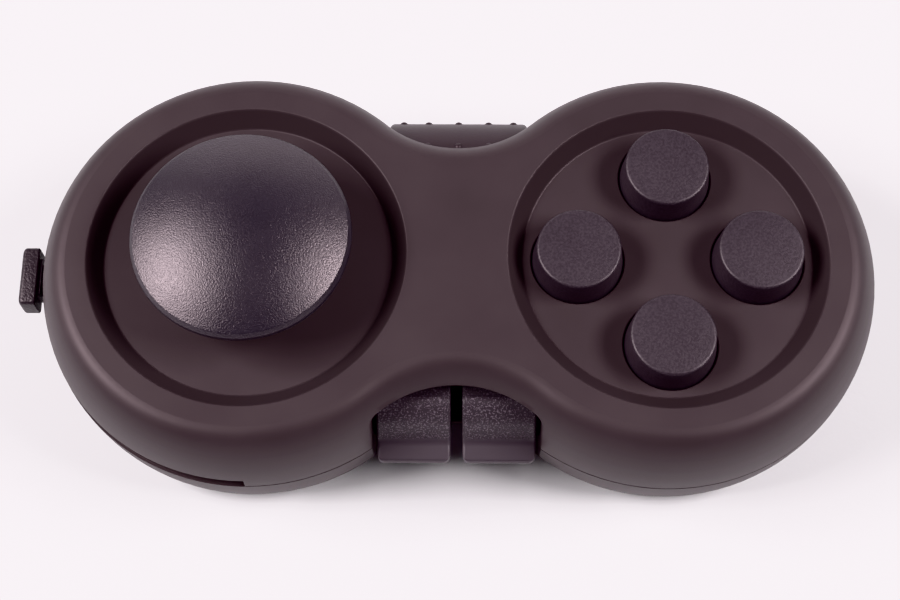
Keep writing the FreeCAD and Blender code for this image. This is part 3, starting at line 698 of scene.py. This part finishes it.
class FIDGET_OT_buttons(bpy.types.Operator):
    """Build the four round buttons with their flanges and plungers"""
    bl_idname = "fidget.buttons"
    bl_label = "Buttons"

    def execute(self, context):
        shape = context.scene.fidget_buttons
        material = satin_finish("button_black", shape.color, shape.roughness,
                                0.22 * MM, 0.03 * MM, 0.55, PLASTIC_TINT)
        plunger = 1.6 * MM
        for side in BUTTON_SIDES:
            low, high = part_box("button_" + side)
            middle = (low + high) / 2
            flange = high.x - middle.x
            flange_top = high.z - 4.82 * MM
            flange_low = flange_top - 1.0 * MM
            profile = [(0, high.z, 0), (shape.top_radius, high.z - 0.03 * MM, shape.edge_round)]
            profile += [(shape.radius, WELL_FLOOR_Z, 0.2 * MM)]
            profile += [(shape.radius, flange_top, 0.1 * MM), (flange, flange_top, 0.1 * MM)]
            profile += [(flange, flange_low, 0.1 * MM), (plunger, flange_low, 0.15 * MM)]
            profile += [(plunger, low.z, 0.15 * MM), (0, low.z, 0)]
            builder = lathe(rounded(profile), Matrix.Translation((middle.x, middle.y, 0)))
            piece = finish_mesh("push_button_" + side, builder, material)
            attach(piece, "button_" + side, "button_black", "button_" + side)
        return {"FINISHED"}


class FIDGET_OT_triggers(bpy.types.Operator):
    """Build the two curved triggers with a rolled lip and rounded edges"""
    bl_idname = "fidget.triggers"
    bl_label = "Triggers"

    def outline(self, pin):
        """The side view, round hub to lip to skirt, as (y, z) points."""
        hub = 1.75 * MM
        # Each corner's y, z and rounding, in millimetres, from the face's top round to the hub
        corners = ((-12.35, 13.72, 0.6), (-13.75, 13.25, 2.2), (-15.1, 12.2, 2.5),
                   (-15.8, 10.75, 0.4), (-16.3, 9.72, 1.0), (-17.98, 9.3, 0.26),
                   (-18.15, 8.95, 0.22), (-18.05, 8.5, 0.25), (-17.5, 8.22, 0.4),
                   (-15.95, 7.72, 0.5), (-15.1, 5.6, 2.0), (-13.45, 3.52, 0.25),
                   (-12.15, 3.52, 0.2), (-13.3, 5.4, 1.0), (-13.98, 7.4, 0.4),
                   (-14.18, 10.2, 0.5), (-13.1, 11.2, 0.4))
        scaled = [(y * MM, z * MM, radius * MM) for y, z, radius in corners]
        return arc(pin, hub, 230, 450, 26) + rounded(scaled, 4)

    def station(self, outline, x, inset, clip_y):
        """The outline at one x, drawn in by inset and kept behind clip_y."""
        points = []
        total = len(outline)
        for index, (y, z) in enumerate(outline):
            before = Vector(outline[index - 1])
            after = Vector(outline[(index + 1) % total])
            along = (after - before).normalized()
            inward = Vector((-along.y, along.x)) * inset
            points.append((x, max(y + inward.x, clip_y), z + inward.y))
        return points

    def sections(self, shape, outline, low_x, high_x):
        """Stations from one side to the other, with eased edges and rounded lip corners."""
        nose = min(y for y, z in outline)
        runs = [(shape.edge_round * (1 - math.cos(math.radians(15 * k))),
                 shape.edge_round * (1 - math.sin(math.radians(15 * k)))) for k in range(6)]
        runs += [(shape.corner * k / 8, 0) for k in range(3, 9)]
        ends = []
        for depth, inset in runs:
            drop = shape.corner - math.sqrt(max(0, shape.corner ** 2 - (shape.corner - depth) ** 2))
            ends.append((depth, inset, nose + drop + inset))
        stations = [self.station(outline, low_x + d, i, c) for d, i, c in ends]
        middle = [low_x + (high_x - low_x) * k / 12 for k in range(2, 11)]
        stations += [self.station(outline, x, 0, nose) for x in middle]
        stations += [self.station(outline, high_x - d, i, c) for d, i, c in reversed(ends)]
        return stations

    def execute(self, context):
        shape = context.scene.fidget_triggers
        material = sparked_finish(shape)
        pin = ((PIN_LOW.y + PIN_HIGH.y) / 2, (PIN_LOW.z + PIN_HIGH.z) / 2)
        outline = self.outline(pin)
        for side in ("left", "right"):
            low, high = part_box("trigger_" + side)
            builder = loft(self.sections(shape, outline, low.x, high.x))
            piece = finish_mesh("finger_trigger_" + side, builder, material)
            hole = (PIN_HIGH.z - PIN_LOW.z) / 2 + RUNNING_CLEARANCE
            past = 5 * MM
            profile = [(0, -past), (hole, -past), (hole, past), (0, past)]
            middle = Matrix.Translation(((low.x + high.x) / 2, *pin))
            place = middle @ Matrix.Rotation(math.pi / 2, 4, "Y")
            carve(piece, finish_mesh("drill", lathe(profile, place, 64), material))
            attach(piece, "trigger_" + side, "textured_black", "trigger_" + side)
        return {"FINISHED"}


class FIDGET_OT_roller(bpy.types.Operator):
    """Build the roller's barrel and set its rows of nubs"""
    bl_idname = "fidget.roller"
    bl_label = "Roller"

    # Along the barrel, in millimetres from its middle
    nub_places = (-5.5, -3.0, 0.0, 3.0, 5.5)

    def nub_tree(self):
        """Rows of nubs round the X axis, from the points of one row."""
        tree = Tree("Nub rows", Rows="Int", Phase="Float", Nub_radius="Float", Nub_depth="Float")
        given = tree.given
        ball = tree.node("GeometryNodeMeshUVSphere", {}, {
            "Segments": 20, "Rings": 12, "Radius": 1.0})
        smooth = tree.node("GeometryNodeSetShadeSmooth", {}, {"Geometry": ball})
        size = tree.node("ShaderNodeCombineXYZ", {}, {
            0: given["Nub radius"], 1: given["Nub radius"], 2: given["Nub depth"]})
        row = tree.node("GeometryNodeInstanceOnPoints", {}, {
            "Points": given["Geometry"], "Instance": smooth, "Scale": size})
        spokes = tree.node("GeometryNodeMeshLine", {}, {
            "Count": given["Rows"], "Offset": (0, 0, 0)})
        index = tree.node("GeometryNodeInputIndex", {}, {})
        share = tree.math("DIVIDE", tree.math("ADD", index, given["Phase"]), given["Rows"])
        turn = tree.node("ShaderNodeCombineXYZ", {}, {0: tree.math("MULTIPLY", share, 2 * math.pi)})
        tree.end(tree.node("GeometryNodeInstanceOnPoints", {}, {
            "Points": spokes, "Instance": row, "Rotation": turn}))
        return tree

    def execute(self, context):
        shape = context.scene.fidget_roller
        material = roller_finish(shape)
        half = BARREL_HIGH.x
        center = Vector((0, (AXLE_LOW.y + AXLE_HIGH.y) / 2, (AXLE_LOW.z + AXLE_HIGH.z) / 2))
        bore = AXLE_HIGH.z - center.z + RUNNING_CLEARANCE
        bore_round = 0.12 * MM
        profile = [(bore, -half, bore_round), (shape.radius, -half, shape.end_round)]
        profile += [(shape.radius, half, shape.end_round), (bore, half, bore_round)]
        place = Matrix.Translation(center) @ Matrix.Rotation(math.pi / 2, 4, "Y")
        barrel = finish_mesh("roller_drum", lathe(rounded(profile, 10), place, 160), material)
        attach(barrel, "roller", "textured_black", "roller_barrel")

        sunk = 0.12 * MM
        row = [(x * MM, 0, shape.radius - sunk) for x in self.nub_places]
        nubs = self.nub_tree().grow(
            "roller_nubs", row, Rows=shape.rows, Phase=shape.phase, Nub_radius=shape.nub_radius,
            Nub_depth=shape.nub_height + sunk, Material=material)
        nubs.data.transform(Matrix.Translation(center))
        attach(nubs, "roller", "textured_black", "roller_barrel")
        return {"FINISHED"}


class FIDGET_OT_knob(bpy.types.Operator):
    """Build the side slider's knob, with its neck and the socket for its arm"""
    bl_idname = "fidget.knob"
    bl_label = "Slider knob"

    def section(self, x, half_y, low_z, high_z, corner):
        """A rounded rectangle across the X axis."""
        middle = (low_z + high_z) / 2
        half_z = (high_z - low_z) / 2
        corners = [(sy * half_y, middle + sz * half_z, corner)
                   for sy, sz in ((-1, -1), (1, -1), (1, 1), (-1, 1))]
        return [(x, y, z) for y, z in rounded(corners, 6)]

    def execute(self, context):
        shape = context.scene.fidget_knob
        color = shade(context.scene.fidget_buttons.color, 0.7)[:3]
        ease = shape.edge_round
        half = shape.half_width
        sections = []
        for k in range(7):
            angle = math.radians(15 * k)
            drop = ease * (1 - math.sin(angle))
            depth = ease * (1 - math.cos(angle))
            sections.append(self.section(KNOB_LOW.x + depth, half - drop, KNOB_LOW.z + drop,
                                         KNOB_HIGH.z - drop, 0.4 * MM))
        bevel = 0.1 * MM
        back_x = KNOB_HIGH.x - shape.neck
        sections.append(self.section(back_x - bevel, half, KNOB_LOW.z, KNOB_HIGH.z, 0.4 * MM))
        sections.append(self.section(back_x, half - bevel, KNOB_LOW.z + bevel,
                                     KNOB_HIGH.z - bevel, 0.35 * MM))
        for x in (back_x + 0.02 * MM, KNOB_HIGH.x):
            sections.append(self.section(x, 2 * MM, KNOB_LOW.z + 0.35 * MM,
                                         KNOB_HIGH.z - 0.4 * MM, 0.3 * MM))
        material = satin_finish("knob_black", color, 0.4, 0.28 * MM, 0.05 * MM, 0.5, PLASTIC_TINT)
        piece = finish_mesh("slider_knob_cap", loft(sections), material)
        arm_low, arm_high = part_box("slider_lever")
        arm_z = arm_high.z - 0.8 * MM
        socket = [self.section(x, 1.5 * MM, arm_z, arm_high.z, 0.05 * MM)
                  for x in (arm_low.x, KNOB_HIGH.x + 1 * MM)]
        carve(piece, finish_mesh("socket", loft(socket), material))
        attach(piece, "slider", "textured_black", "slider_knob")
        return {"FINISHED"}


class FIDGET_OT_screws(bpy.types.Operator):
    """Build one cross-head screw and set it in the four counterbores"""
    bl_idname = "fidget.screws"
    bl_label = "Housing screws"

    def blank(self, shape, material):
        """One screw, head down, with its seat at height 0."""
        head = -shape.head_height
        length = SCREWS_HIGH.z - SCREWS_LOW.z - shape.head_height
        profile = [(0, head, 0), (shape.head_radius, head, 0.5 * MM)]
        profile += [(shape.head_radius, 0, 0.08 * MM), (shape.shank_radius, 0, 0.06 * MM)]
        crest = shape.shank_radius
        root = crest - 0.14 * MM
        threads = 15
        pitch = (length - 1.2 * MM) / threads
        for k in range(threads):
            low = 0.5 * MM + pitch * k
            profile += [(root, low, 0), (crest, low + pitch / 2, 0)]
        profile += [(root, length - 0.6 * MM, 0), (0, length, 0)]
        screw = finish_mesh("screw", lathe(rounded(profile), Matrix.Identity(4), 40), material, 50)
        for turn in (0, math.pi / 2):
            wing = bmesh.new()
            bmesh.ops.create_cube(wing, size=1)
            # Length, width and twice the depth of the cross
            size = Matrix.Diagonal((1.9 * MM, 0.38 * MM, 1.5 * MM, 1))
            place = Matrix.Translation((0, 0, head)) @ Matrix.Rotation(turn, 4, "Z") @ size
            bmesh.ops.transform(wing, matrix=place, verts=wing.verts)
            carve(screw, finish_mesh("wing", wing, material))
        return screw

    def screw_tree(self):
        """One screw on each point."""
        tree = Tree("Screws on points", Screw="Object")
        info = tree.group.nodes.new("GeometryNodeObjectInfo")
        tree.group.links.new(tree.given["Screw"], info.inputs["Object"])
        tree.end(tree.node("GeometryNodeInstanceOnPoints", {}, {
            "Points": tree.given["Geometry"], "Instance": info.outputs["Geometry"]}))
        return tree

    def execute(self, context):
        shape = context.scene.fidget_screws
        material = metal_finish("zinc_steel_screws", (0.5, 0.5, 0.52), 0.34, 0.25 * MM)
        screw = self.blank(shape, material)
        seat = SCREWS_LOW.z + shape.head_height
        reach = SCREWS_HIGH.y - shape.head_radius
        left = SCREWS_LOW.x + shape.head_radius
        right = SCREWS_HIGH.x - shape.head_radius
        right_reach = 10.4 * MM
        places = [(left, reach, seat), (left, -reach, seat)]
        places += [(right, right_reach, seat), (right, -right_reach, seat)]
        piece = self.screw_tree().grow("case_screws", places, Screw=screw, Material=material)
        bpy.data.objects.remove(screw)
        attach(piece, "housing", "zinc_steel", "housing_screws")
        return {"FINISHED"}


class FIDGET_OT_inner(bpy.types.Operator):
    """Give the parts inside the housing their finishes"""
    bl_idname = "fidget.inner"
    bl_label = "Inner parts"

    def execute(self, context):
        finishes = {
            "natural": moulded_finish("natural_plastic", (0.62, 0.6, 0.56), 0.45),
            "black": moulded_finish("inner_black_plastic", (0.014, 0.0125, 0.0145), 0.45),
            "zinc": metal_finish("zinc_steel", (0.55, 0.55, 0.57), 0.32, 0.2 * MM),
            "spring": metal_finish("spring_steel", (0.6, 0.6, 0.6), 0.2, 0.12 * MM),
        }
        for finish, nodes in INNER_FINISHES.items():
            for node in nodes:
                dress(node, finishes[finish])
        return {"FINISHED"}


def stage_white(stage):
    """The colour of the lit floor, for what lies beyond the lights."""
    lit = 1.7
    return (*[lit * channel * light for channel, light in zip(stage.floor_color, LIGHT_COLOR)], 1.0)


class FIDGET_OT_stage(bpy.types.Operator):
    """Set the floor, the soft lights and the camera"""
    bl_idname = "fidget.stage"
    bl_label = "Stage"

    # Name, place, width and height in metres, and the setting that holds its power
    softboxes = (
        ("left_softbox", (-0.4, -0.01, 0.42), (0.31, 0.17), "left_power"),
        ("right_softbox", (0.42, -0.02, 0.42), (0.28, 0.16), "right_power"),
        ("back_softbox", (0.02, 0.6, 0.22), (0.85, 0.3), "back_power"),
    )
    camera_distance = 0.1655
    focal_length = 70.73

    def softbox(self, name, place, size, power):
        """One soft light, turned towards the pad."""
        light = bpy.data.lights.new(name, "AREA")
        light.shape = "RECTANGLE"
        light.size, light.size_y = size
        light.energy = power
        light.color = LIGHT_COLOR
        lamp = bpy.data.objects.new(name, light)
        bpy.context.scene.collection.objects.link(lamp)
        lamp.location = place
        aim = Vector((0, 0, 0.01)) - Vector(place)
        lamp.rotation_euler = aim.to_track_quat("-Z", "Y").to_euler()

    def floor(self, stage):
        """A wide pale floor that stays as bright far off as it is under the lights."""
        half = 8.0
        mesh = bpy.data.meshes.new("pale_floor")
        corners = [(x * half, y * half, 0) for x, y in ((-1, -1), (1, -1), (1, 1), (-1, 1))]
        mesh.from_pydata(corners, [], [(0, 1, 2, 3)])
        finish = Finish("pale_floor", stage.floor_color, 0.75, specular_ior_level=0.2)
        place = finish.place()
        x, y = finish.axes(place)[:2]
        lit, dark = 0.2, 1.3
        away = finish.step((x ** 2.0 + y ** 2.0) ** 0.5, lit, dark)
        finish.set("Emission Color", finish.blend(away, (0.0, 0.0, 0.0, 1.0), stage_white(stage)))
        finish.set("Emission Strength", 1.0)
        fibres = finish.noise(place, 1.2 * MM, 3.0, 0.6)
        finish.set("Normal", finish.bump(fibres, 0.05 * MM, 0.4))
        mesh.materials.append(finish.material)
        sheet = bpy.data.objects.new("pale_floor", mesh)
        bpy.context.scene.collection.objects.link(sheet)

    def room(self, context, stage):
        """A dim room for the light on the object, and a pale backdrop beyond the floor."""
        world = bpy.data.worlds.new("room")
        world.use_nodes = True
        nodes, links = world.node_tree.nodes, world.node_tree.links
        dim = nodes["Background"]
        dim.inputs["Color"].default_value = ROOM_COLOR
        dim.inputs["Strength"].default_value = stage.fill
        pale = nodes.new("ShaderNodeBackground")
        pale.inputs["Color"].default_value = stage_white(stage)
        mix = nodes.new("ShaderNodeMixShader")
        links.new(nodes.new("ShaderNodeLightPath").outputs["Is Camera Ray"], mix.inputs[0])
        links.new(dim.outputs[0], mix.inputs[1])
        links.new(pale.outputs[0], mix.inputs[2])
        links.new(mix.outputs[0], nodes["World Output"].inputs["Surface"])
        context.scene.world = world

    def camera(self):
        """The view from above the front edge, slightly swung and rolled."""
        tilt, swing, roll = math.radians(68.68), math.radians(2.203), math.radians(-1.801)
        target = Vector((-0.63, -4.73, 17.2)) * MM
        back = Vector((math.sin(swing) * math.cos(tilt), -math.cos(swing) * math.cos(tilt),
                       math.sin(tilt)))
        side = Vector((0, 0, 1)).cross(back).normalized()
        up = back.cross(side)
        right = side * math.cos(roll) + up * math.sin(roll)
        over = up * math.cos(roll) - side * math.sin(roll)
        pose = Matrix((right, over, back)).transposed().to_4x4()
        pose.translation = target + back * self.camera_distance
        lens = bpy.data.cameras.new("camera")
        lens.lens = self.focal_length
        lens.sensor_width = 36
        lens.clip_start = 0.001
        view = bpy.data.objects.new("camera", lens)
        bpy.context.scene.collection.objects.link(view)
        view.matrix_world = pose
        bpy.context.scene.camera = view

    def execute(self, context):
        stage = context.scene.fidget_stage
        self.floor(stage)
        self.room(context, stage)
        for name, place, size, power in self.softboxes:
            self.softbox(name, place, size, getattr(stage, power))
        context.scene.view_settings.view_transform = "Khronos PBR Neutral"
        self.camera()
        return {"FINISHED"}


class FIDGET_PT_panel(bpy.types.Panel):
    """Lists the pad's pieces in the sidebar"""
    bl_idname = "FIDGET_PT_panel"
    bl_label = "Fidget Pad"
    bl_space_type = "VIEW_3D"
    bl_region_type = "UI"
    bl_category = "Fidget Pad"

    def draw(self, context):
        for operator in OPERATORS:
            self.layout.operator(operator.bl_idname)
        for name in SETTINGS:
            box = self.layout.box()
            box.label(text=name.replace("fidget_", "").title())
            group = getattr(context.scene, name)
            for key in group.__annotations__:
                box.prop(group, key)


SETTINGS = {
    "fidget_shell": FIDGET_PG_shell,
    "fidget_cap": FIDGET_PG_cap,
    "fidget_buttons": FIDGET_PG_buttons,
    "fidget_triggers": FIDGET_PG_triggers,
    "fidget_roller": FIDGET_PG_roller,
    "fidget_knob": FIDGET_PG_knob,
    "fidget_screws": FIDGET_PG_screws,
    "fidget_stage": FIDGET_PG_stage,
}
OPERATORS = (FIDGET_OT_shells, FIDGET_OT_cap, FIDGET_OT_buttons, FIDGET_OT_triggers,
             FIDGET_OT_roller, FIDGET_OT_knob, FIDGET_OT_screws, FIDGET_OT_inner, FIDGET_OT_stage)


def register():
    for group in SETTINGS.values():
        bpy.utils.register_class(group)
    for name, group in SETTINGS.items():
        setattr(bpy.types.Scene, name, bpy.props.PointerProperty(type=group))
    for operator in OPERATORS:
        bpy.utils.register_class(operator)
    bpy.utils.register_class(FIDGET_PT_panel)


def unregister():
    bpy.utils.unregister_class(FIDGET_PT_panel)
    for operator in reversed(OPERATORS):
        bpy.utils.unregister_class(operator)
    for name, group in reversed(SETTINGS.items()):
        delattr(bpy.types.Scene, name)
        bpy.utils.unregister_class(group)


def main():
    register()
    bpy.ops.fidget.shells()
    bpy.ops.fidget.cap()
    bpy.ops.fidget.buttons()
    bpy.ops.fidget.triggers()
    bpy.ops.fidget.roller()
    bpy.ops.fidget.knob()
    bpy.ops.fidget.screws()
    bpy.ops.fidget.inner()
    bpy.ops.fidget.stage()


if __name__ == "__main__":
    main()
